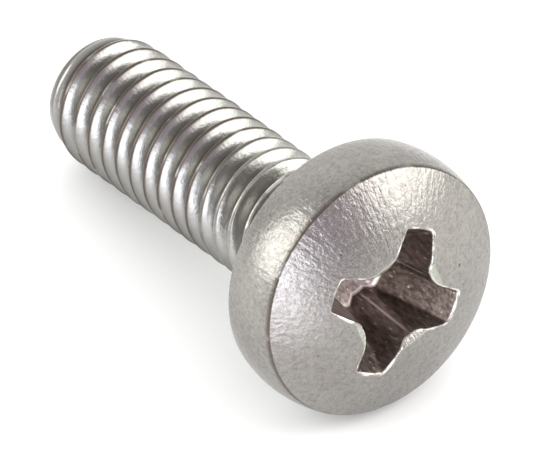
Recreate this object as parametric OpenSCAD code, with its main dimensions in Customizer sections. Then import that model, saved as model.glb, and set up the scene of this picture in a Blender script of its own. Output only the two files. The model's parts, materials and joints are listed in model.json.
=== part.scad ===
// Cross-recess pan head machine screw, one cold-headed and thread-rolled piece.
// It lies as it comes to rest, on the side of its head and the edge where its end chamfer starts.
// Inside the modules the screw stands on its own axis: bearing face at z = 0, head up, shank down.

/* [Thread] */
// Major diameter of the thread, which is the shank's diameter
thread_d = 4; // [3:0.1:5]
// Length of the shank, from the head's bearing face to its end
screw_len = 12; // [8:0.5:25]
// Diameter of the shank's flat end
tip_d = 3.4; // [2:0.1:3.6]
// Length of the chamfer at the shank's end
tip_len = 0.9; // [0.3:0.1:2]
// Radius of the fillet where the shank meets the head
neck_fillet = 0.2; // [0.1:0.05:0.4]

/* [Head] */
// Largest diameter of the head, half way up its barrel-shaped side
head_d = 8; // [6.6:0.1:10]
// Height of the head, from its bearing face to the top of its dome
head_h = 3.1; // [2.5:0.05:4]
// Height of the dome above the sharp crease at its foot
dome_h = 1.08; // [0.8:0.02:1.4]
// How far the side swells out past the crease and the bearing face's edge
side_swell = 0.15; // [0.05:0.01:0.4]

/* [Cross recess] */
// Diameter across the wings where they break through the dome
recess_d = 4.5; // [3.6:0.1:5.4]
// Width of a wing at its outer end, at the dome
wing_w = 0.95; // [0.7:0.05:1.2]
// Angle at which each side of a wing spreads towards the middle
wing_flare = 10; // [2:1:14]
// Angle at which each side of a wing closes in with depth
wing_draft = 5.75; // [2:0.25:8]
// Angle between the screw's axis and a wing's outer wall
wall_angle = 26.5; // [20:0.5:32]
// Diameter of the recess's floor
floor_d = 2.3; // [1.8:0.1:2.8]
// Angle at which the floor falls towards the middle
floor_angle = 28; // [15:1:35]
// Diameter of the middle well, where it cuts back the four corners at the dome
well_d = 2.45; // [2.2:0.05:2.8]
// Angle between the screw's axis and the middle well's wall
well_angle = 7; // [3:1:12]
// Distance across the flats that are pressed into the four corners, at the dome
flats_w = 2.92; // [2.6:0.02:3.4]
// Angle between the screw's axis and each of those flats
flat_angle = 65; // [50:1:75]
// Turn of the recess about the screw's axis
recess_turn = 60; // [0:1:89]

/* [Hidden] */

// Roundness of every circle
$fn = 96;
// Overshoot that carries a cut past the face it breaks
past = 0.5;
// Half the side of a block that is only there for one of its faces
reach = 12;

// Barrel side: an arc from the bearing face's edge to the crease
side_h = head_h - dome_h;
crease_r = head_d / 2 - side_swell;
barrel_r = (pow(side_h / 2, 2) + pow(side_swell, 2)) / (2 * side_swell);
barrel_x = head_d / 2 - barrel_r;
barrel_z = side_h / 2;

// Dome: a sphere through the crease and the top of the head
dome_r = (pow(crease_r, 2) + pow(dome_h, 2)) / (2 * dome_h);
dome_z = head_h - dome_r;

// Recess: where its wings meet the dome, and where its floor lies
recess_r = recess_d / 2;
mouth_z = dome_z + sqrt(pow(dome_r, 2) - pow(recess_r, 2));
floor_z = mouth_z - (recess_d - floor_d) / 2 / tan(wall_angle);
floor_drop = floor_d / 2 * tan(floor_angle);
flat_r = flats_w / 2;
flat_z = dome_z + sqrt(pow(dome_r, 2) - pow(flat_r, 2));
cut_top = head_h + past;

// Rest: the floor's line touches the head's side and whichever of the shank's end edges it meets first
edge_z = -(screw_len - tip_len);
lean = min(lean_on(thread_d / 2, edge_z), lean_on(tip_d / 2, -screw_len));
rest_z = max(drop_of(thread_d / 2, edge_z), drop_of(tip_d / 2, -screw_len));

// Middle of the lying screw's length, from its flat end's upper edge to its dome
low_x = -screw_len * cos(lean) - tip_d / 2 * sin(lean);
high_x = dome_z * cos(lean) + dome_r;
mid_x = (low_x + high_x) / 2;

// Angle between the axis and a line from radius r at height z to the barrel arc, without its corner below
function lean_on_arc(r, z) =
    atan2(barrel_x - r, barrel_z - z) + asin(barrel_r / norm([barrel_z - z, barrel_x - r]));

// The same angle, where the line may touch the bearing face's edge instead of the arc
function lean_on(r, z) =
    barrel_r * sin(lean_on_arc(r, z)) <= barrel_z ? lean_on_arc(r, z) : atan2(crease_r - r, -z);

// How far the lowest point at radius r and height z hangs below the bearing face's middle
function drop_of(r, z) = r * cos(lean) - z * sin(lean);

// Radius of a cone at height z, where it has radius r at height z_at and opens upwards
function cone_r(r, z_at, angle, z) = r + (z - z_at) * tan(angle);

// A cone that opens upwards, between two heights
module cone(r, z_at, angle, z_low, z_high)
{
    translate([0, 0, z_low])
        cylinder(h = z_high - z_low, r1 = cone_r(r, z_at, angle, z_low), r2 = cone_r(r, z_at, angle, z_high));
}

// Head: flat below, barrel side, sharp crease, dome
module head_blank()
{
    rotate_extrude()
        intersection()
        {
            square([head_d / 2, head_h]);
            translate([barrel_x, barrel_z]) circle(r = barrel_r);
            translate([0, dome_z]) circle(r = dome_r);
        }
}

// Shank at the thread's major diameter, with its end chamfer
module shank()
{
    translate([0, 0, edge_z]) cylinder(h = head_h / 4 - edge_z, d = thread_d);
    translate([0, 0, -screw_len]) cylinder(h = tip_len, d1 = tip_d, d2 = thread_d);
}

// Fillet ring between the shank and the bearing face
module neck()
{
    rotate_extrude()
        difference()
        {
            translate([0, -neck_fillet]) square([thread_d / 2 + neck_fillet, neck_fillet * 2]);
            translate([thread_d / 2 + neck_fillet, -neck_fillet]) circle(r = neck_fillet);
        }
}

// Block whose one slanted face is a wing's side
module wing_side()
{
    translate([recess_r, wing_w / 2, mouth_z])
        rotate([-wing_draft, 0, -wing_flare])
        translate([-reach, -reach, -reach])
        cube([2 * reach, reach, 2 * reach]);
}

// One wing, which runs from the axis out along x
module wing()
{
    intersection()
    {
        wing_side();
        mirror([0, 1, 0]) wing_side();
        translate([0, -reach / 2, -reach]) cube([reach, reach, 2 * reach]);
    }
}

// Block whose one slanted face is the flat on the corner between two wings
module corner_flat()
{
    rotate([0, 0, 45])
        translate([flat_r, 0, flat_z])
        rotate([0, flat_angle, 0])
        translate([-reach, -reach, -reach])
        cube([reach, 2 * reach, 2 * reach]);
}

// Everything that the driver's tip takes out of the head
module recess()
{
    intersection()
    {
        union()
        {
            for (turn = [0 : 90 : 270]) rotate([0, 0, turn]) wing();
            cone(well_d / 2, mouth_z, well_angle, floor_z - floor_drop, cut_top);
            intersection_for(turn = [0 : 90 : 270]) rotate([0, 0, turn]) corner_flat();
        }
        union()
        {
            cone(floor_d / 2, floor_z, wall_angle, floor_z, cut_top);
            translate([0, 0, floor_z - floor_drop]) cylinder(h = floor_drop, r1 = 0, d2 = floor_d);
        }
    }
}

// The whole screw, lying on its head's side and its chamfer's edge, with its head towards +x
module screw()
{
    color("#b7b3ab")
        translate([-mid_x, 0, rest_z])
        rotate([0, 90 - lean, 0])
        difference()
        {
            union()
            {
                head_blank();
                shank();
                neck();
            }
            rotate([0, 0, recess_turn]) recess();
        }
}

screw();
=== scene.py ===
"""Visual model of a cross-recess pan head machine screw in tumbled stainless steel.

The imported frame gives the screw's place and lean. The head, its recess and the rolled thread are built here
as one closed skin on the screw's own axis: the bearing face at z = 0, the head above it, the shank below.
Lengths are in millimetres on that axis and become metres when the skin turns into a mesh.
"""
import json
import logging
import math
from collections.abc import Callable
from dataclasses import dataclass, field
from enum import Enum

import bpy
import numpy as np
from mathutils import Matrix, Vector


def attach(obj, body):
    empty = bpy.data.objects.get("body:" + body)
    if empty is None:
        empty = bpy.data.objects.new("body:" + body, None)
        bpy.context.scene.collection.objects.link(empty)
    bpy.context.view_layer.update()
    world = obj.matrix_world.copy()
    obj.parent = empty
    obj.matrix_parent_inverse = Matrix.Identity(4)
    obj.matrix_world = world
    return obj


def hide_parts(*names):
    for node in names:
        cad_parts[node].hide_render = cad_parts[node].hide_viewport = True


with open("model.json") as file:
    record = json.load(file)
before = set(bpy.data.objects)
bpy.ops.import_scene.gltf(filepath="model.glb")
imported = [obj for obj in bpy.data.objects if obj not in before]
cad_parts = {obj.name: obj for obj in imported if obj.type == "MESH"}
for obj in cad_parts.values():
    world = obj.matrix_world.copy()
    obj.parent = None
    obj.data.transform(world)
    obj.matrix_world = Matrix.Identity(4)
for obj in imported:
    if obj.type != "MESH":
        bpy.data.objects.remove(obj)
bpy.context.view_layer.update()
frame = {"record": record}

MM = 0.001
QUARTER = math.pi / 2
OWN_PLACE = "own_place"
LOG = logging.getLogger("machine_screw")

Colour = tuple[float, float, float]
Place = tuple[float, float, float]
Lengths = np.ndarray | float
Socket = bpy.types.NodeSocket
Value = Socket | float | Colour
Inputs = dict[str | int, Value]


class Trait(Enum):
    """Named shares, from 0 to 1, that the skin carries for its finish and for its painted shade and
    highlights.
    """

    POCKET = "pocket"
    BURNISH = "burnish"
    FLANK = "flank"
    RIDGE = "ridge"
    ROLLED = "rolled"
    PRESSED = "pressed"
    SHADE = "shade"


def soft_min(a: Lengths, b: Lengths, width: Lengths) -> Lengths:
    """The lesser of two surfaces, rounded where they are less than a width apart."""
    near = np.clip(width - np.abs(a - b), 0.0, None) / width
    return np.minimum(a, b) - near * near * width / 4


def soft_max(a: Lengths, b: Lengths, width: Lengths) -> Lengths:
    """The greater of two surfaces, rounded in the same way as soft_min."""
    return -soft_min(-a, -b, width)


def ease(x: Lengths) -> Lengths:
    """A smooth step from 0 to 1 over the same range of x."""
    x = np.clip(x, 0.0, 1.0)
    return x * x * (3 - 2 * x)


def bent(start: np.ndarray, corner: np.ndarray, end: np.ndarray, steps: int) -> list[np.ndarray]:
    """The rings that round a corner in some steps, without the start ring and with the end ring."""
    shares = [step / steps for step in range(1, steps + 1)]
    return [(1 - s) ** 2 * start + 2 * s * (1 - s) * corner + s * s * end for s in shares]


def ring(radius: Lengths, angle: np.ndarray, height: Lengths) -> np.ndarray:
    """Points round the axis, with a row of x, y, z for each angle."""
    return np.stack([radius * np.cos(angle), radius * np.sin(angle), angle * 0 + height], axis=-1)


def placed(name: str, data: bpy.types.ID) -> bpy.types.Object:
    """Puts data into the scene as a new object."""
    made = bpy.data.objects.new(name, data)
    bpy.context.scene.collection.objects.link(made)
    return made


@dataclass(frozen=True)
class Placement:
    """Where the screw's axis lies in the frame."""

    origin: Vector
    axis: Vector

    @classmethod
    def from_record(cls, record: dict) -> "Placement":
        """Reads the axis and the bearing face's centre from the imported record."""
        mounts = {mount["name"]: mount for mount in record["mounts"]}
        axis = -Vector(mounts["thread"]["axis"]).normalized()
        on_axis = Vector(mounts["thread"]["pos_m"])
        on_face = Vector(mounts["bearing_face"]["pos_m"])
        return cls(on_axis + axis * (on_face - on_axis).dot(axis), axis)

    def matrix(self) -> Matrix:
        """The matrix that carries the screw's own axis into the frame."""
        across = Vector((0.0, 1.0, 0.0))
        down = across.cross(self.axis)
        turned = Matrix((down, across, self.axis)).transposed().to_4x4()
        return Matrix.Translation(self.origin) @ turned


@dataclass
class Skin:
    """A closed skin grown ring by ring, every ring with the same number of points."""

    columns: int
    points: list[np.ndarray] = field(default_factory=list)
    traits: dict[Trait, list[np.ndarray]] = field(default_factory=lambda: {trait: [] for trait in Trait})
    faces: list[tuple[int, ...]] = field(default_factory=list)
    count: int = 0

    def add(self, points: np.ndarray, **shares: Lengths) -> np.ndarray:
        """Adds points.

        Args:
            points: Rows of x, y, z.
            **shares: The points' traits by name, 0 where left out.

        Returns:
            The new points' numbers.
        """
        number = len(points)
        self.points.append(points)
        for trait in Trait:
            self.traits[trait].append(np.zeros(number) + shares.get(trait.value, 0.0))
        self.count += number
        return np.arange(self.count - number, self.count)

    def band(self, first: np.ndarray, second: np.ndarray) -> None:
        """Joins two rings with a band of four-sided faces."""
        for here in range(self.columns):
            following = (here + 1) % self.columns
            self.faces.append((first[here], second[here], second[following], first[following]))

    def grow(self, last: np.ndarray, rings: list[np.ndarray], **shares: Lengths) -> np.ndarray:
        """Grows the skin through more rings.

        Args:
            last: The ring to start from.
            rings: The rings to add, in order.
            **shares: Their traits by name.

        Returns:
            The last ring's numbers.
        """
        for points in rings:
            following = self.add(points, **shares)
            self.band(last, following)
            last = following
        return last

    def cap(self, rim: np.ndarray, middle: np.ndarray, outward: bool, **shares: float) -> None:
        """Closes a ring with a fan of faces round one point.

        Args:
            rim: The ring to close.
            middle: The fan's middle point.
            outward: True where the ring is the skin's first one.
            **shares: The middle point's traits by name.
        """
        hub = self.add(middle[None, :], **shares)[0]
        for here in range(self.columns):
            following = (here + 1) % self.columns
            pair = (rim[here], rim[following]) if outward else (rim[following], rim[here])
            self.faces.append((hub, *pair))

    def mesh(self, name: str, place: Matrix) -> bpy.types.Mesh:
        """Turns the skin into a smooth mesh in metres that keeps its own places and traits.

        Args:
            name: The mesh's name.
            place: The matrix that carries the skin's axis into the frame.

        Returns:
            The mesh.
        """
        data = bpy.data.meshes.new(name)
        corners = [tuple(int(corner) for corner in face) for face in self.faces]
        own = np.concatenate(self.points)
        matrix = np.array(place)
        data.from_pydata((own * MM @ matrix[:3, :3].T + matrix[:3, 3]).tolist(), [], corners)
        layer = data.attributes.new(OWN_PLACE, "FLOAT_VECTOR", "POINT")
        layer.data.foreach_set("vector", own.astype(np.float32).ravel())
        for trait, shares in self.traits.items():
            layer = data.attributes.new(trait.value, "FLOAT", "POINT")
            layer.data.foreach_set("value", np.concatenate(shares).astype(np.float32))
        data.shade_smooth()
        data.validate()
        return data


@dataclass(frozen=True)
class HeadForm:
    """Pan head: flat below, barrel-shaped side, sharp crease, domed top."""

    diameter: float = 8.0
    height: float = 3.1
    dome_height: float = 1.08
    side_swell: float = 0.15
    crease_round: float = 0.035
    rim_round: float = 0.13

    @property
    def side_height(self) -> float:
        """Height of the crease above the bearing face."""
        return self.height - self.dome_height

    @property
    def crease_radius(self) -> float:
        """Radius of the crease, and of the bearing face's edge."""
        return self.diameter / 2 - self.side_swell

    @property
    def dome_radius(self) -> float:
        """Radius of the dome's sphere."""
        return (self.crease_radius**2 + self.dome_height**2) / (2 * self.dome_height)

    def dome(self, radius: Lengths) -> Lengths:
        """Height of the dome at a distance from the axis."""
        return self.height - self.dome_radius + np.sqrt(self.dome_radius**2 - radius**2)

    def side(self, height: Lengths) -> Lengths:
        """Radius of the barrel-shaped side at a height."""
        half = self.side_height / 2
        bow = (half**2 + self.side_swell**2) / (2 * self.side_swell)
        return self.diameter / 2 - bow + np.sqrt(bow**2 - (height - half) ** 2)


@dataclass(frozen=True)
class RecessForm:
    """Cross recess: four tapering wings, a middle well, pressed corner flats and a conical floor."""

    head: HeadForm
    across: float = 4.5
    wing_width: float = 0.95
    flare: float = math.radians(10)
    draft: float = math.radians(5.75)
    wall: float = math.radians(26.5)
    floor_diameter: float = 2.3
    floor_fall: float = math.radians(28)
    well_diameter: float = 2.45
    well_angle: float = math.radians(7)
    flats_across: float = 2.92
    flat_angle: float = math.radians(65)
    turn: float = math.radians(60)
    mouth_round: float = 0.065
    corner_blend: float = 0.12
    nose_blend: float = 0.05
    nose_spread: float = 0.2
    well_blend: float = 0.03
    well_spread: float = 0.15
    flat_blend: float = 0.012
    inner_limit: float = QUARTER * 0.42

    @property
    def mouth_height(self) -> float:
        """Height at which the wings' ends meet the dome."""
        return float(self.head.dome(self.across / 2))

    @property
    def floor_height(self) -> float:
        """Height of the floor's rim."""
        return self.mouth_height - (self.across - self.floor_diameter) / 2 / math.tan(self.wall)

    def flank_reach(self, height: Lengths) -> Lengths:
        """Distance from the axis to a wing side's plane, at a height."""
        narrowed = math.tan(self.draft) / math.cos(self.flare) * (height - self.mouth_height)
        offset = self.wing_width / 2 + narrowed + self.across / 2 * math.tan(self.flare)
        return offset * math.cos(self.flare)

    def end_radius(self, height: Lengths) -> Lengths:
        """Radius of the wings' outer walls at a height."""
        return self.across / 2 - (self.mouth_height - height) * math.tan(self.wall)

    def well_radius(self, height: Lengths) -> Lengths:
        """Radius of the middle well at a height."""
        return self.well_diameter / 2 + (height - self.mouth_height) * math.tan(self.well_angle)

    def corner_angles(self, height: np.ndarray) -> tuple[np.ndarray, np.ndarray]:
        """Angles, from a wing's middle, of its side's outer and inner corners at a height."""
        reach = self.flank_reach(height)
        outer = np.arcsin(np.clip(reach / self.end_radius(height), -1, 1)) - self.flare
        inner = np.arcsin(np.clip(reach / self.well_radius(height), -1, 1)) - self.flare
        return outer, np.clip(inner, outer, self.inner_limit)

    def radius(self, angle: np.ndarray, height: np.ndarray) -> np.ndarray:
        """Radius of the recess's outline.

        Args:
            angle: Angle from a wing's middle towards the next wing, up to a quarter turn.
            height: Height of the section.

        Returns:
            The distance from the axis to the wall.
        """
        reach = self.flank_reach(height)
        ends = self.end_radius(height)
        sides = [reach / np.sin(off + self.flare) for off in (angle, QUARTER - angle)]
        pair = [soft_min(ends, side, self.corner_blend) for side in sides]
        depth = np.clip((height - self.floor_height) / (self.mouth_height - self.floor_height), 0, 1)
        wings = soft_max(*pair, self.nose_blend + self.nose_spread * depth)
        well = self.well_radius(height) + angle * 0
        return soft_max(wings, well, self.well_blend + self.well_spread * depth)

    def floor(self, radius: np.ndarray) -> np.ndarray:
        """Height of the conical floor at a distance from the axis."""
        return self.floor_height - (self.floor_diameter / 2 - radius) * math.tan(self.floor_fall)

    def flat_distance(self, points: np.ndarray) -> np.ndarray:
        """How far points lie from the axis towards the nearest corner, in the recess's own turn."""
        return (np.abs(points[:, 0]) + np.abs(points[:, 1])) / math.sqrt(2)

    def top(self, points: np.ndarray) -> np.ndarray:
        """Height of the head's top, the dome with its pressed flats, in the recess's own turn."""
        edge = self.flats_across / 2
        pressed = self.head.dome(edge) + (self.flat_distance(points) - edge) / math.tan(self.flat_angle)
        return soft_min(self.head.dome(np.hypot(points[:, 0], points[:, 1])), pressed, self.flat_blend)


@dataclass(frozen=True)
class ThreadForm:
    """Rolled right-hand thread with rounded roots, a chamfered end and a run-out under the head."""

    length: float = 12.0
    diameter: float = 4.0
    pitch: float = 0.7
    root_depth: float = 0.6134
    crest_flat: float = 0.0625
    crest_blend: float = 0.045
    root_blend: float = 0.1
    neck_radius: float = 1.82
    neck_round: float = 0.2
    runout_from: float = 0.3
    runout_length: float = 0.9
    end_radius: float = 1.7
    end_slope: float = 0.333
    end_blend: float = 0.03
    end_round: float = 0.1
    fade_from: float = 11.15
    fade_length: float = 0.8
    faded_depth: float = 0.4
    waver: float = 0.012
    crest_edge: float = 0.1
    root_edge: float = 0.06
    root_width: float = 0.21
    glint_from: float = 3.2
    glint_length: float = 1.5
    root_shade_from: float = 0.3
    root_shade_length: float = 0.3
    flank_slope: float = math.sqrt(3)
    waver_lobes: tuple[int, int] = (3, 7)
    waver_drift: tuple[float, float] = (0.7, -1.9)
    row_shares: tuple[float, ...] = (
        0.0, 0.05, 0.1, 0.17, 0.28, 0.39, 0.44, 0.5, 0.56, 0.61, 0.72, 0.83, 0.9, 0.95,
    )

    def phase(self, angle: np.ndarray, height: np.ndarray) -> np.ndarray:
        """Turns along the helix, whole on a root's line and half-way between on a crest's."""
        return angle / math.tau - height / self.pitch

    def radius(self, angle: np.ndarray, height: np.ndarray) -> np.ndarray:
        """Radius of the thread's surface.

        Args:
            angle: Angle about the axis.
            height: Height along the axis, below 0 on the shank.

        Returns:
            The distance from the axis.
        """
        turns = self.phase(angle, height)
        off_crest = np.abs(turns % 1.0 - 0.5) * self.pitch
        outer = self.diameter / 2
        flank = outer - (off_crest - self.crest_flat * self.pitch) * self.flank_slope
        waves = zip(self.waver_lobes, self.waver_drift)
        wave = sum(np.sin(angle * lobes + turns * drift) for lobes, drift in waves)
        crest = soft_min(flank, outer + self.waver * (wave - 2) / 2, self.crest_blend)
        formed = soft_max(crest, outer - self.root_depth * self.pitch + angle * 0, self.root_blend)
        share = ease((-height - self.runout_from) / self.runout_length)
        run = self.neck_radius + (formed - self.neck_radius) * share
        chamfer = self.end_radius + (height + self.length) * self.end_slope
        fade = 1 - (1 - self.faded_depth) * ease((-height - self.fade_from) / self.fade_length)
        return chamfer - (chamfer - soft_min(run, chamfer, self.end_blend)) * fade

    def crest_share(self, angle: np.ndarray, height: np.ndarray) -> np.ndarray:
        """How near points are to the crest's line, 1 on it and 0 off it."""
        off_crest = np.abs(self.phase(angle, height) % 1.0 - 0.5)
        return 1 - ease((off_crest - self.crest_flat) / self.crest_edge)

    def root_share(self, angle: np.ndarray, height: np.ndarray) -> np.ndarray:
        """How near points are to the root's line, 1 on it and 0 off it."""
        off_root = 0.5 - np.abs(self.phase(angle, height) % 1.0 - 0.5)
        # The painted shade in the roots begins a little below the bearing face.
        begun = ease((-height - self.root_shade_from) / self.root_shade_length)
        return (1 - ease((off_root - self.root_edge) / self.root_width)) * begun

    def rows(self) -> list[float]:
        """Where the skin's rows lie, in turns from the bearing face: closer on crests and roots."""
        turns = math.ceil(self.length / self.pitch) + 2
        return [turn + share for turn in range(-1, turns) for share in self.row_shares]


@dataclass
class ScrewSkin:
    """Grows the whole screw's skin from its forms."""

    head: HeadForm
    recess: RecessForm
    thread: ThreadForm
    end_steps: int = 7
    corner_steps: int = 5
    flank_steps: int = 9
    nose_steps: int = 9
    corner_half: float = math.radians(2.6)
    settle_rounds: int = 12
    floor_shares: tuple[float, ...] = (0.25, 0.5, 0.75, 0.92)
    hem_steps: int = 3
    hem_height: float = 0.03
    hem_glint: float = 0.9
    wall_steps: int = 18
    ridge_half: float = 0.06
    ridge_below: float = 0.5
    mouth_dulling: tuple[float, ...] = (0.45, 0.2, 0.05, 0.0, 0.0, 0.0)
    raggedness: float = 0.5
    ragged_limits: tuple[float, float] = (0.65, 1.4)
    seed: int = 7
    flat_shares: tuple[float, ...] = (0.3, 0.6, 0.95)
    flat_fade: float = 0.05
    least_flat: float = 0.03
    past_flat: float = 0.008
    dome_steps: int = 26
    crease_steps: int = 4
    crease_shade: float = 0.8
    side_steps: int = 15
    rim_steps: int = 6
    under_shares: tuple[float, ...] = (0.35, 0.7, 1.0)
    neck_steps: int = 5
    crest_glint: float = 0.8
    crest_painted_shade: float = 0.9
    edge_steps: int = 5
    edge_corner: float = 0.9
    face_shares: tuple[float, ...] = (0.7, 0.4, 0.15)
    slack: float = 1e-6

    @property
    def half_quadrant(self) -> int:
        """Columns from a wing's middle to the middle of the corner beside it."""
        return self.end_steps + self.corner_steps + self.flank_steps + self.nose_steps

    @property
    def columns(self) -> int:
        """Columns all the way round."""
        return 8 * self.half_quadrant

    def local_angles(self, height: np.ndarray) -> np.ndarray:
        """Each column's angle within its quadrant.

        Args:
            height: One height for each column.

        Returns:
            Angles from 0 to a quarter turn, which follow the recess's corners.
        """
        outer, inner = self.recess.corner_angles(height)
        corner = (outer - self.corner_half, outer + self.corner_half)
        stops = [outer * 0, *corner, inner, outer * 0 + QUARTER / 2]
        counts = [self.end_steps, self.corner_steps, self.flank_steps, self.nose_steps]
        index = np.arange(self.columns) % (2 * self.half_quadrant)
        mirrored = index > self.half_quadrant
        place = np.where(mirrored, 2 * self.half_quadrant - index, index)
        angle, passed = outer * 0, 0
        for low, high, steps in zip(stops, stops[1:], counts):
            share = np.clip((place - passed) / steps, 0, 1)
            angle = angle + share * (high - low)
            passed += steps
        return np.where(mirrored, QUARTER - angle, angle)

    def wall(self, height: np.ndarray) -> np.ndarray:
        """Points of the recess's wall, one for each column, in the recess's own turn."""
        local = self.local_angles(height)
        quadrant = np.arange(self.columns) // (2 * self.half_quadrant)
        return ring(self.recess.radius(local, height), local + quadrant * QUARTER, height)

    def ragged(self) -> np.ndarray:
        """Uneven widths round the mouth's edge, about 1 on average and the same on every run."""
        chance = np.random.default_rng(self.seed).normal(0.0, 1.0, self.columns)
        smooth = (chance + np.roll(chance, 1) + np.roll(chance, -1)) / 3
        return np.clip(1 + self.raggedness * smooth, *self.ragged_limits)

    def ridge(self, height: np.ndarray) -> np.ndarray:
        """Shares that are 1 along the corners' inner ridges and 0 beside them, for a painted highlight there.
        """
        aside = np.abs(self.local_angles(height) - QUARTER / 2) * self.recess.well_diameter / 2
        return 1 - ease(aside / self.ridge_half)

    def turned(self, points: np.ndarray) -> np.ndarray:
        """Points turned from the recess's own turn to the screw's."""
        cos, sin = math.cos(self.recess.turn), math.sin(self.recess.turn)
        x, y, z = points.T
        return np.stack([x * cos - y * sin, x * sin + y * cos, z], axis=-1)

    def settle(self, height: float, surface: Callable[[np.ndarray], np.ndarray]) -> np.ndarray:
        """Heights at which the wall meets a surface.

        Args:
            height: A first guess.
            surface: A function from the wall's points to the surface's heights there.

        Returns:
            One height for each column.
        """
        heights = np.full(self.columns, height)
        for _ in range(self.settle_rounds):
            heights = surface(self.wall(heights))
        return heights

    def grow_recess(self, skin: Skin) -> tuple[np.ndarray, np.ndarray, np.ndarray]:
        """Grows the floor, the walls and the rounded mouth.

        Args:
            skin: The empty skin.

        Returns:
            The last ring's numbers, its points and its angles, in the recess's own turn.
        """
        form = self.recess
        low = self.settle(form.floor_height, lambda at: form.floor(np.hypot(at[:, 0], at[:, 1])))
        high = self.settle(form.mouth_height, form.top)
        foot = low + (high - low) * self.hem_height
        last = self.grow_floor(skin, low, foot)
        below = high - form.mouth_round
        for step in range(1, self.wall_steps + 1):
            heights = foot + (below - foot) * step / self.wall_steps
            # Painted highlight along the corners' inner ridges, fading out towards the mouth.
            ridge = self.ridge(heights) * ease((high - heights) / self.ridge_below)
            last = skin.grow(last, [self.turned(self.wall(heights))], pocket=1.0, ridge=ridge)
        return self.grow_mouth(skin, last, below, high)

    def grow_floor(self, skin: Skin, low: np.ndarray, foot: np.ndarray) -> np.ndarray:
        """Grows the conical floor and the hem where it meets the walls, with a painted highlight along the
        hem.

        Args:
            skin: The empty skin.
            low: Each column's height at the floor's edge.
            foot: Each column's height just above it.

        Returns:
            The last ring's numbers.
        """
        corner = self.wall(low)
        hub = np.array([0.0, 0.0, float(self.recess.floor(np.zeros(1))[0])])
        floor = [hub + (corner - hub) * share for share in self.floor_shares]
        rim = skin.add(self.turned(floor[0]), pocket=1.0)
        skin.cap(rim, hub, outward=True, pocket=1.0)
        last = skin.grow(rim, [self.turned(points) for points in floor[1:]], pocket=1.0)
        hem = [self.turned(points) for points in bent(floor[-1], corner, self.wall(foot), self.hem_steps)]
        # Painted highlight along the hem.
        last = skin.grow(last, hem[:-1], pocket=1.0, ridge=self.hem_glint)
        return skin.grow(last, hem[-1:], pocket=1.0)

    def grow_mouth(
        self, skin: Skin, last: np.ndarray, below: np.ndarray, high: np.ndarray
    ) -> tuple[np.ndarray, np.ndarray, np.ndarray]:
        """Grows the mouth's rounded and uneven edge.

        Args:
            skin: The skin so far.
            last: The wall's last ring.
            below: Each column's height there.
            high: Each column's height where the wall would meet the top.

        Returns:
            What grow_recess returns.
        """
        edge, start = self.wall(high), self.wall(below)
        along = np.roll(edge, -1, axis=0) - np.roll(edge, 1, axis=0)
        length = np.hypot(along[:, 0], along[:, 1])
        width = self.recess.mouth_round * self.ragged()
        end = edge.copy()
        end[:, 0] += along[:, 1] / length * width
        end[:, 1] -= along[:, 0] / length * width
        end[:, 2] = self.recess.top(end)
        rings = bent(start, edge, end, len(self.mouth_dulling))
        for points, share in zip(rings, self.mouth_dulling):
            last = skin.grow(last, [self.turned(points)], pocket=share, burnish=1.0)
        return last, end, np.arctan2(edge[:, 1], edge[:, 0])

    def grow_dome(
        self, skin: Skin, last: np.ndarray, mouth: np.ndarray, angle: np.ndarray
    ) -> tuple[np.ndarray, np.ndarray]:
        """Grows the corner flats and the dome out to the crease.

        Args:
            skin: The skin so far.
            last: The mouth's ring.
            mouth: The mouth's points, in the recess's own turn.
            angle: The columns' angles, in the recess's own turn.

        Returns:
            The last ring's numbers and each column's angle there.
        """
        form, head = self.recess, self.head
        outer = ring(head.crease_radius - head.crease_round, angle, 0.0)
        near, far = form.flat_distance(mouth), form.flat_distance(outer)
        to_flat = np.clip((form.flats_across / 2 - near) / (far - near), self.least_flat, 1.0)
        on_flat = ease((form.flats_across / 2 - near) / self.flat_fade)
        beyond = [self.past_flat] + [step / self.dome_steps for step in range(1, self.dome_steps + 1)]
        shares = [(to_flat * share, on_flat) for share in self.flat_shares]
        shares += [(to_flat + (1 - to_flat) * share, 0.0) for share in beyond]
        for share, pressed in shares:
            points = mouth + (outer - mouth) * share[:, None]
            points[:, 2] = form.top(points)
            last = skin.grow(last, [self.turned(points)], pressed=pressed)
        return last, angle + form.turn

    def grow_side(self, skin: Skin, last: np.ndarray, angle: np.ndarray) -> np.ndarray:
        """Grows the crease, the side, the bearing face and the neck.

        Args:
            skin: The skin so far.
            last: The dome's last ring.
            angle: Each column's angle there.

        Returns:
            The neck's last ring.
        """
        head, thread = self.head, self.thread
        crease, radius = head.crease_round, head.crease_radius
        start = ring(radius - crease, angle, head.dome(np.array(radius - crease)))
        top = head.side_height
        side_start = ring(head.side(np.array(top - crease)), angle, top - crease)
        rings = bent(start, ring(radius, angle, top), side_start, self.crease_steps)
        last = skin.grow(last, rings, shade=self.crease_shade)
        heights = np.linspace(top - crease, head.rim_round, self.side_steps + 1)[1:]
        last = skin.grow(last, [ring(head.side(h), angle, h) for h in heights])
        under = ring(radius - head.rim_round, angle, 0.0)
        side_end = ring(head.side(heights[-1]), angle, heights[-1])
        last = skin.grow(last, bent(side_end, ring(radius, angle, 0.0), under, self.rim_steps))
        even = angle[0] + np.arange(self.columns) * math.tau / self.columns
        drift = (angle - even + math.pi) % math.tau - math.pi
        neck_foot = thread.neck_radius + thread.neck_round
        for share in self.under_shares:
            reach = radius - head.rim_round + (neck_foot - radius + head.rim_round) * share
            last = skin.grow(last, [ring(reach, even + drift * (1 - share), 0.0)])
        bottom = ring(thread.radius(even, even * 0 - thread.neck_round), even, -thread.neck_round)
        corner = ring(thread.neck_radius, even, 0.0)
        return skin.grow(last, bent(ring(neck_foot, even, 0.0), corner, bottom, self.neck_steps))

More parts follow.
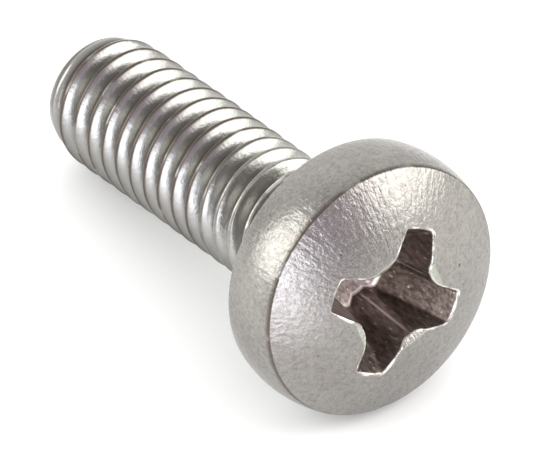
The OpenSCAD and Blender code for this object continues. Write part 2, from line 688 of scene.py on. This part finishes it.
    def grow_thread(self, skin: Skin, last: np.ndarray, first_angle: float) -> None:
        """Grows the thread along its helix, then the shank's end.

        Args:
            skin: The skin so far.
            last: The neck's last ring.
            first_angle: The first column's angle.
        """
        form = self.thread
        angle = first_angle + np.arange(self.columns) * math.tau / self.columns
        top, bottom = -form.neck_round, -form.length + form.end_round
        end = skin.add(ring(form.radius(angle, angle * 0 + bottom), angle, bottom))
        numbers = []
        for row in form.rows():
            height = form.pitch * (angle / math.tau - row)
            inside = (height < top - self.slack) & (height > bottom + self.slack)
            at, chosen = height[inside], angle[inside]
            crest, root = form.crest_share(chosen, at), form.root_share(chosen, at)
            # Painted highlight: a bright glint along the crests near the head, kept with the burnished edges.
            glint = crest * ease((at + form.glint_from) / form.glint_length) * self.crest_glint
            points = ring(form.radius(chosen, at), chosen, at)
            flank = np.clip(1 - crest - root, 0, 1)
            # Painted shade darkens the crests further from the head, standing in for the shaded floor they
            # mirror.
            darkened = crest * self.crest_painted_shade * ease((-at - form.glint_from) / form.glint_length)
            shade = np.maximum(root, darkened)
            new = skin.add(points, burnish=glint, shade=shade, flank=flank, rolled=1.0)
            line = np.where(height >= top, last, end)
            line[inside] = new
            numbers.append(line)
        self.weave(skin, numbers, last, end)
        inner = form.radius(angle, angle * 0 + bottom) - form.end_round
        rim = ring(inner + form.end_round, angle, bottom)
        face = ring(inner, angle, -form.length)
        corner = ring(inner + form.end_round * self.edge_corner, angle, -form.length)
        last = skin.grow(end, bent(rim, corner, face, self.edge_steps))
        last = skin.grow(last, [ring(inner * share, angle, -form.length) for share in self.face_shares])
        skin.cap(last, np.array([0.0, 0.0, -form.length]), outward=False)

    def weave(self, skin: Skin, numbers: list[np.ndarray], first: np.ndarray, end: np.ndarray) -> None:
        """Joins the helical rows, each row's last column to the row one turn above.

        Args:
            skin: The skin so far.
            numbers: The rows' point numbers.
            first: The ring above all rows.
            end: The ring below all rows.
        """
        turn = len(self.thread.row_shares)
        for row in range(len(numbers) - 1):
            for here in range(self.columns):
                near = [numbers[row][here], numbers[row + 1][here]]
                if here + 1 < self.columns:
                    far = [numbers[row + 1][here + 1], numbers[row][here + 1]]
                else:
                    far = [numbers[r][0] if r >= 0 else first[0] for r in (row + 1 - turn, row - turn)]
                face = tuple(dict.fromkeys(near + far))
                if len(face) > 2:
                    skin.faces.append(face)
        for row in range(len(numbers) - turn + 1, len(numbers)):
            face = tuple(dict.fromkeys((numbers[row - 1][0], numbers[row][0], end[0])))
            if len(face) > 2:
                skin.faces.append(face)

    def grown(self) -> Skin:
        """The whole skin, from the recess's floor to the shank's end."""
        skin = Skin(self.columns)
        last, mouth, angle = self.grow_recess(skin)
        last, angle = self.grow_dome(skin, last, mouth, angle)
        last = self.grow_side(skin, last, angle)
        self.grow_thread(skin, last, float(angle[0]))
        return skin


@dataclass
class Wires:
    """Adds nodes to a shader and links them."""

    tree: bpy.types.NodeTree

    def node(self, kind: str, inputs: Inputs | None = None, **settings: str) -> bpy.types.Node:
        """Adds one node.

        Args:
            kind: The node's type.
            inputs: Values or sockets for its inputs, by name or number.
            **settings: Its other settings.

        Returns:
            The node.
        """
        made = self.tree.nodes.new(kind)
        for name, value in settings.items():
            setattr(made, name, value)
        for name, value in (inputs or {}).items():
            if isinstance(value, Socket):
                self.tree.links.new(value, made.inputs[name])
            else:
                made.inputs[name].default_value = value
        return made

    def math(self, operation: str, *values: Value) -> Socket:
        """One sum or comparison of one, two or three values."""
        return self.node("ShaderNodeMath", dict(enumerate(values)), operation=operation).outputs[0]

    def vector(self, operation: str, *values: Value, out: int = 0) -> Socket:
        """One sum of vectors, with a vector as output 0 and a number as output 1."""
        return self.node("ShaderNodeVectorMath", dict(enumerate(values)), operation=operation).outputs[out]

    def upright(self, height: Socket) -> Socket:
        """A vector along Z."""
        return self.node("ShaderNodeCombineXYZ", {2: height}).outputs[0]

    def noise(self, at: Socket, scale: float, detail: float, distortion: float = 0.0) -> Socket:
        """Even noise, with its scale in features for each millimetre."""
        inputs = {"Vector": at, "Scale": scale, "Detail": detail, "Distortion": distortion}
        return self.node("ShaderNodeTexNoise", inputs).outputs[0]

    def ramp(
        self, value: Socket, low: float, high: float, to_low: float = 0.0, to_high: float = 1.0
    ) -> Socket:
        """A value's range stretched smoothly to another range."""
        inputs = {0: value, 1: low, 2: high, 3: to_low, 4: to_high}
        return self.node("ShaderNodeMapRange", inputs, interpolation_type="SMOOTHSTEP").outputs[0]

    def blend(self, share: Socket, first: Socket | Colour, second: Socket | Colour) -> Socket:
        """Two colours mixed by a share."""
        made = self.node("ShaderNodeMix", {0: share}, data_type="RGBA")
        for number, value in ((6, first), (7, second)):
            if isinstance(value, Socket):
                self.tree.links.new(value, made.inputs[number])
            else:
                made.inputs[number].default_value = (*value, 1.0)
        return made.outputs[2]

    def trait(self, trait: Trait) -> Socket:
        """One of the skin's traits."""
        return self.node("ShaderNodeAttribute", attribute_name=trait.value).outputs["Fac"]


@dataclass(frozen=True)
class Speckle:
    """Noise of one fineness, and the range of its values that shows."""

    scale: float
    detail: float
    distortion: float = 0.0
    low: float = 0.0
    high: float = 1.0
    to_low: float = 0.0
    to_high: float = 1.0

    def noise(self, wires: Wires, at: Socket) -> Socket:
        """The plain noise."""
        return wires.noise(at, self.scale, self.detail, self.distortion)

    def stretch(self, wires: Wires, noise: Socket) -> Socket:
        """The range of the noise that shows, stretched smoothly."""
        return wires.ramp(noise, self.low, self.high, self.to_low, self.to_high)

    def shown(self, wires: Wires, at: Socket) -> Socket:
        """The noise with its range stretched."""
        return self.stretch(wires, self.noise(wires, at))


@dataclass(frozen=True)
class TumbledSteel:
    """Stainless steel as it comes from a tumbler: satin, mottled, streaked, with bright edges, painted
    highlights and painted shade.
    """

    name: str = "tumbled_stainless_steel"
    slot: str = "stainless_steel"
    steel: Colour = (0.292, 0.281, 0.266)
    darkened: Colour = (0.276, 0.262, 0.249)
    # This dark colour serves real dirt, mottling and specks, and also the painted shade in the crease and the
    # thread's roots and crests.
    dirt_and_shade: Colour = (0.085, 0.064, 0.052)
    pocket: Colour = (0.41, 0.345, 0.325)
    soot: Colour = (0.22, 0.18, 0.16)
    flats: Colour = (0.4, 0.42, 0.35)
    # The flanks' lighter colour is partly the rolling die's polish and partly painted light that brightens
    # the thread.
    rolled: Colour = (0.355, 0.352, 0.333)
    bright: Colour = (0.85, 0.82, 0.77)
    glint: Colour = (1.0, 0.92, 0.88)
    clouds: Speckle = Speckle(0.9, 3.0, 0.4, 0.4, 0.65)
    mottle: Speckle = Speckle(6.5, 5.0, 0.6, 0.42, 0.62, 0.0, 0.2)
    mottle_depth: float = 0.018
    dust: Speckle = Speckle(16.0, 3.0, 0.0, 0.42, 0.66, 0.0, 0.2)
    grain: Speckle = Speckle(30.0, 2.0)
    grain_depth: float = 0.0014
    specks: Speckle = Speckle(7.0, 1.0, 0.0, 0.71, 0.76, 0.0, 0.45)
    shade_breaks: Speckle = Speckle(1.1, 1.0, 0.0, 0.6, 0.66, 1.0, 0.25)
    burnish_and_glint_breaks: Speckle = Speckle(2.2, 2.0, 0.0, 0.44, 0.6, 0.1, 1.0)
    burnish_and_glint_tone: float = 0.7
    streak: Speckle = Speckle(26.0, 3.0, 0.3)
    streak_depth: float = 0.015
    streak_change: float = 0.09
    swerve: Speckle = Speckle(1.2, 1.0)
    swerve_reach: float = 0.08
    smears: Speckle = Speckle(9.0, 6.0, 0.2, 0.34, 0.64)
    scratches: Speckle = Speckle(11.0, 1.0, 0.2, 0.69, 0.73, 0.0, 0.9)
    drawn_out: Place = (1.0, 1.0, 0.3)
    pit: Place = (-0.18, 2.27, 2.74)
    pit_fade: tuple[float, ...] = (0.03, 0.07, 0.8, 0.0)
    flats_tone: float = 0.8
    flank_light_tone: float = 0.9
    rolled_relief: float = 0.28
    roughness: float = 0.25
    rough_spread: float = 0.16
    pocket_rough: float = 0.1
    rolled_rough: float = -0.03
    burnish_rough: float = -0.05

    def material(self) -> bpy.types.Material:
        """Builds the procedural material, in the screw's own coordinates."""
        made = bpy.data.materials.new(self.name)
        made.use_nodes = True
        made.node_tree.nodes.clear()
        wires = Wires(made.node_tree)
        at = wires.node("ShaderNodeAttribute", attribute_name=OWN_PLACE).outputs["Vector"]
        pocket = wires.trait(Trait.POCKET)
        burnish = wires.math("MULTIPLY", wires.trait(Trait.BURNISH), self.burnish_and_glint_breaks.shown(wires, at))
        mottle, grain = self.mottle.noise(wires, at), self.grain.noise(wires, at)
        shader = wires.node("ShaderNodeBsdfPrincipled")
        shader.inputs["Metallic"].default_value = 1.0
        inputs = {
            "Base Color": self.colour(wires, at, pocket, burnish, mottle),
            "Roughness": self.rough(wires, pocket, burnish, mottle, grain),
            "Normal": self.relief(wires, mottle, self.streaks(wires, at), grain),
        }
        for name, socket in inputs.items():
            made.node_tree.links.new(socket, shader.inputs[name])
        wires.node("ShaderNodeOutputMaterial", {"Surface": shader.outputs[0]})
        return made

    def streaks(self, wires: Wires, at: Socket) -> Socket:
        """The heights of fine scratches that run out from the axis and swerve a little."""
        flat = wires.vector("MULTIPLY", at, (1.0, 1.0, 0.0))
        along = wires.upright(wires.math("MULTIPLY", wires.vector("LENGTH", flat, out=1), self.streak_change))
        aside = wires.upright(wires.math("MULTIPLY", self.swerve.noise(wires, at), self.swerve_reach))
        route = wires.vector("ADD", wires.vector("NORMALIZE", flat), along)
        return self.streak.noise(wires, wires.vector("ADD", route, aside))

    def colour(self, wires: Wires, at: Socket, pocket: Socket, burnish: Socket, mottle: Socket) -> Socket:
        """Steel with cloudy darker patches, a dull pocket, bright edges, painted highlights and painted
        shade.

        Args:
            wires: The material's wires.
            at: The screw's own coordinates.
            pocket: How far points are inside the recess.
            burnish: How burnished points are, with the painted glint along the thread's crests.
            mottle: The mottling's noise.

        Returns:
            The colour.
        """
        off_pit = wires.vector("DISTANCE", at, self.pit, out=1)
        layers = (
            (self.mottle.stretch(wires, mottle), 1.0, self.dirt_and_shade),
            (self.dust.shown(wires, at), 1.0, self.dirt_and_shade),
            # Painted shade in the crease and the thread's roots and crests, broken up by noise.
            (wires.trait(Trait.SHADE), self.shade_breaks.shown(wires, at), self.dirt_and_shade),
            (wires.ramp(off_pit, *self.pit_fade), 1.0, self.dirt_and_shade),
            (self.specks.shown(wires, at), 1.0, self.dirt_and_shade),
            (wires.trait(Trait.PRESSED), self.flats_tone, self.flats),
            # Lighter flanks: partly the rolling die's polish, partly painted light.
            (wires.trait(Trait.FLANK), self.flank_light_tone, self.rolled),
            (pocket, 1.0, self.inside(wires, at)),
            # Painted highlight along the recess's inner ridges and the floor's hem.
            (wires.trait(Trait.RIDGE), 1.0, self.glint),
            # Burnished edges, and the painted glint along the thread's crests near the head.
            (burnish, self.burnish_and_glint_tone, self.bright),
        )
        colour = wires.blend(self.clouds.shown(wires, at), self.steel, self.darkened)
        for share, tone, layer in layers:
            colour = wires.blend(wires.math("MULTIPLY", share, tone), colour, layer)
        return colour

    def inside(self, wires: Wires, at: Socket) -> Socket:
        """The recess's sooty steel, with marks drawn out along the axis."""
        drawn = wires.vector("MULTIPLY", at, self.drawn_out)
        sooty = wires.blend(self.smears.shown(wires, drawn), self.pocket, self.soot)
        return wires.blend(self.scratches.shown(wires, drawn), sooty, self.bright)

    def rough(self, wires: Wires, pocket: Socket, burnish: Socket, mottle: Socket, grain: Socket) -> Socket:
        """Roughness that wanders, duller in the pocket and smoother on the thread and edges.

        Args:
            wires: The material's wires.
            pocket: How far points are inside the recess.
            burnish: How burnished points are, with the painted glint along the thread's crests.
            mottle: The mottling's noise.
            grain: The grain's noise.

        Returns:
            The roughness.
        """
        level = self.roughness
        for noise in (mottle, grain):
            wander = wires.math("SUBTRACT", noise, 0.5)
            level = wires.math("MULTIPLY_ADD", wander, self.rough_spread, level)
        level = wires.math("MULTIPLY_ADD", pocket, self.pocket_rough, level)
        level = wires.math("MULTIPLY_ADD", wires.trait(Trait.ROLLED), self.rolled_rough, level)
        return wires.math("MULTIPLY_ADD", burnish, self.burnish_rough, level)

    def relief(self, wires: Wires, mottle: Socket, streaks: Socket, grain: Socket) -> Socket:
        """Dents, scratches and grain as one bump, shallower on the thread.

        Args:
            wires: The material's wires.
            mottle: The mottling's noise.
            streaks: The scratches' heights.
            grain: The grain's noise.

        Returns:
            The bumped normal.
        """
        height = wires.math("MULTIPLY", mottle, self.mottle_depth)
        height = wires.math("MULTIPLY_ADD", streaks, self.streak_depth, height)
        depth = wires.ramp(wires.trait(Trait.ROLLED), 0.0, 0.5, 1.0, self.rolled_relief)
        height = wires.math("MULTIPLY", height, depth)
        height = wires.math("MULTIPLY_ADD", grain, self.grain_depth, height)
        inputs = {"Strength": 1.0, "Distance": MM, "Height": height}
        return wires.node("ShaderNodeBump", inputs).outputs[0]


@dataclass
class MachineScrew:
    """The screw as one piece on the frame's root body."""

    placement: Placement
    finish: TumbledSteel = TumbledSteel()
    head: HeadForm = HeadForm()
    thread: ThreadForm = ThreadForm()
    name: str = "machine_screw"
    node: str = "screw"
    body: str = "root"

    def build(self) -> bpy.types.Object:
        """Builds the screw's mesh in its place, as a new object."""
        grown = ScrewSkin(self.head, RecessForm(self.head), self.thread).grown()
        return placed(self.name, grown.mesh(self.name, self.placement.matrix()))

    def dress(self, piece: bpy.types.Object) -> None:
        """Gives the piece its finish and ties it to the frame."""
        piece.data.materials.append(self.finish.material())
        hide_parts(self.node)
        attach(piece, self.body)


def heading(azimuth: float, elevation: float) -> Vector:
    """The direction at an azimuth from +X towards +Y and an elevation, both in degrees."""
    around, up = math.radians(azimuth), math.radians(elevation)
    return Vector((math.cos(around) * math.cos(up), math.sin(around) * math.cos(up), math.sin(up)))


def area_lamp(name: str, size: tuple[float, float], radiance: float, colour: Colour) -> bpy.types.Object:
    """Makes a rectangular lamp.

    Args:
        name: The lamp's name.
        size: Its two sides.
        radiance: How bright its face looks.
        colour: Its colour.

    Returns:
        The lamp's object, which the camera doesn't see.
    """
    data = bpy.data.lights.new(name, "AREA")
    data.shape = "RECTANGLE"
    data.size, data.size_y = size
    data.energy = radiance * math.pi * size[0] * size[1]
    data.color = colour
    lamp = placed(name, data)
    lamp.visible_camera = False
    return lamp


@dataclass(frozen=True)
class AirPatch:
    """A soft patch of another tone in the studio's air, even within a third of its reach."""

    azimuth: float
    elevation: float
    reach: float
    colour: Colour

    def paint(self, wires: Wires, place: Socket, colour: Socket) -> Socket:
        """Paints the patch over the air's colour so far."""
        near = wires.vector("DOT_PRODUCT", place, tuple(heading(self.azimuth, self.elevation)), out=1)
        reach = math.radians(self.reach)
        return wires.blend(wires.ramp(near, math.cos(reach), math.cos(reach / 3)), colour, self.colour)


@dataclass(frozen=True)
class Softbox:
    """A rectangular studio light that faces the screw."""

    name: str
    azimuth: float
    elevation: float
    distance: float
    size: tuple[float, float]
    radiance: float
    colour: Colour
    mirrored: bool = True

    def hang(self, target: Vector) -> None:
        """Hangs the light so that it faces the target."""
        lamp = area_lamp(self.name, self.size, self.radiance, self.colour)
        away = heading(self.azimuth, self.elevation)
        lamp.location = target + away * self.distance
        lamp.rotation_mode = "QUATERNION"
        lamp.rotation_quaternion = away.to_track_quat("Z", "Y")
        lamp.visible_glossy = self.mirrored


@dataclass(frozen=True)
class TableGlow:
    """A soft glowing strip that lies on the floor and shines upwards."""

    name: str
    azimuth: float
    distance: float
    size: tuple[float, float]
    radiance: float
    colour: Colour
    lift: float = 0.0003

    def hang(self, target: Vector) -> None:
        """Lays the strip so that it runs away from the target."""
        lamp = area_lamp(self.name, self.size, self.radiance, self.colour)
        away = heading(self.azimuth, 0.0) * self.distance
        lamp.location = (target.x + away.x, target.y + away.y, self.lift)
        lamp.rotation_euler = (math.pi, 0.0, math.radians(self.azimuth))


@dataclass
class Studio:
    """Pale floor, soft lights and the camera."""

    placement: Placement
    floor_size: float = 3.0
    floor_colour: Colour = (0.93, 0.93, 0.925)
    floor_roughness: float = 0.4
    camera_azimuth: float = 54.2
    camera_elevation: float = 41.9
    camera_distance: float = 0.396
    camera_lens: float = 940.0
    camera_sensor: float = 36.0
    camera_reach: tuple[float, float] = (0.01, 5.0)
    aim_offset: Place = (-0.001704, -0.001239, 0.000733)
    air_low: Colour = (1.08, 1.08, 1.07)
    air_high: Colour = (0.95, 0.95, 0.94)
    air_turns: tuple[float, float] = (0.35, 0.9)
    patches: tuple[AirPatch, ...] = (
        AirPatch(7.0, 30.0, 31.0, (0.76, 0.64, 0.77)),
        AirPatch(155.0, 20.0, 48.0, (1.5, 1.5, 1.48)),
    )
    lights: tuple[Softbox | TableGlow, ...] = (
        Softbox("cream_softbox", 51.0, 28.0, 0.12, (0.1, 0.09), 3.6, (0.99, 1.0, 0.96)),
        Softbox("lilac_softbox", -31.0, 9.0, 0.1, (0.058, 0.058), 4.1, (0.86, 0.88, 1.0)),
        Softbox("back_softbox", -124.0, 28.0, 0.12, (0.075, 0.1), 3.4, (0.97, 1.0, 0.96)),
        Softbox("top_softbox", 20.0, 80.0, 0.25, (0.25, 0.25), 0.4, (1.0, 1.0, 1.0), mirrored=False),
        TableGlow("front_glow", -30.0, 0.038, (0.044, 0.014), 1.4, (0.92, 0.9, 1.0)),
    )

    def lay_floor(self) -> None:
        """Lays the floor under the screw."""
        half = self.floor_size / 2
        corners = [(-half, -half, 0), (half, -half, 0), (half, half, 0), (-half, half, 0)]
        data = bpy.data.meshes.new("floor")
        data.from_pydata(corners, [], [(0, 1, 2, 3)])
        floor = placed("floor", data)
        made = bpy.data.materials.new("pale_floor")
        made.use_nodes = True
        shader = made.node_tree.nodes["Principled BSDF"]
        shader.inputs["Base Color"].default_value = (*self.floor_colour, 1.0)
        shader.inputs["Roughness"].default_value = self.floor_roughness
        data.materials.append(made)

    def fill_air(self) -> None:
        """Fills the studio with an even pale light that is dimmer overhead."""
        world = bpy.data.worlds.new("studio_air")
        bpy.context.scene.world = world
        world.use_nodes = True
        world.node_tree.nodes.clear()
        wires = Wires(world.node_tree)
        place = wires.node("ShaderNodeTexCoord").outputs["Generated"]
        height = wires.node("ShaderNodeSeparateXYZ", {0: place}).outputs[2]
        colour = wires.blend(wires.ramp(height, *self.air_turns), self.air_low, self.air_high)
        for patch in self.patches:
            colour = patch.paint(wires, place, colour)
        air = wires.node("ShaderNodeBackground", {"Color": colour, "Strength": 1.0})
        wires.node("ShaderNodeOutputWorld", {"Surface": air.outputs[0]})

    def set_camera(self) -> None:
        """Sets the camera with its long lens."""
        data = bpy.data.cameras.new("camera")
        data.lens = self.camera_lens
        data.sensor_width = self.camera_sensor
        data.clip_start, data.clip_end = self.camera_reach
        camera = placed("camera", data)
        back = heading(self.camera_azimuth - 90.0, self.camera_elevation)
        aim = self.placement.origin + Vector(self.aim_offset)
        camera.location = aim + back * self.camera_distance
        camera.rotation_mode = "QUATERNION"
        camera.rotation_quaternion = back.to_track_quat("Z", "Y")
        bpy.context.scene.camera = camera
        bpy.context.scene.view_settings.view_transform = "Standard"

    def build(self) -> None:
        """Builds the floor, the air, the lights and the camera."""
        self.lay_floor()
        self.fill_air()
        for light in self.lights:
            light.hang(self.placement.origin)
        self.set_camera()


def main() -> None:
    """Builds the screw and the studio, and reports each piece."""
    logging.basicConfig(level=logging.INFO, format="%(name)s: %(message)s")
    placement = Placement.from_record(frame["record"])
    screw = MachineScrew(placement)
    piece = screw.build()
    screw.dress(piece)
    triangles = sum(len(polygon.vertices) - 2 for polygon in piece.data.polygons)
    LOG.info("%s: %d points, %d triangles", piece.name, len(piece.data.vertices), triangles)
    Studio(placement).build()


if __name__ == "__main__":
    main()
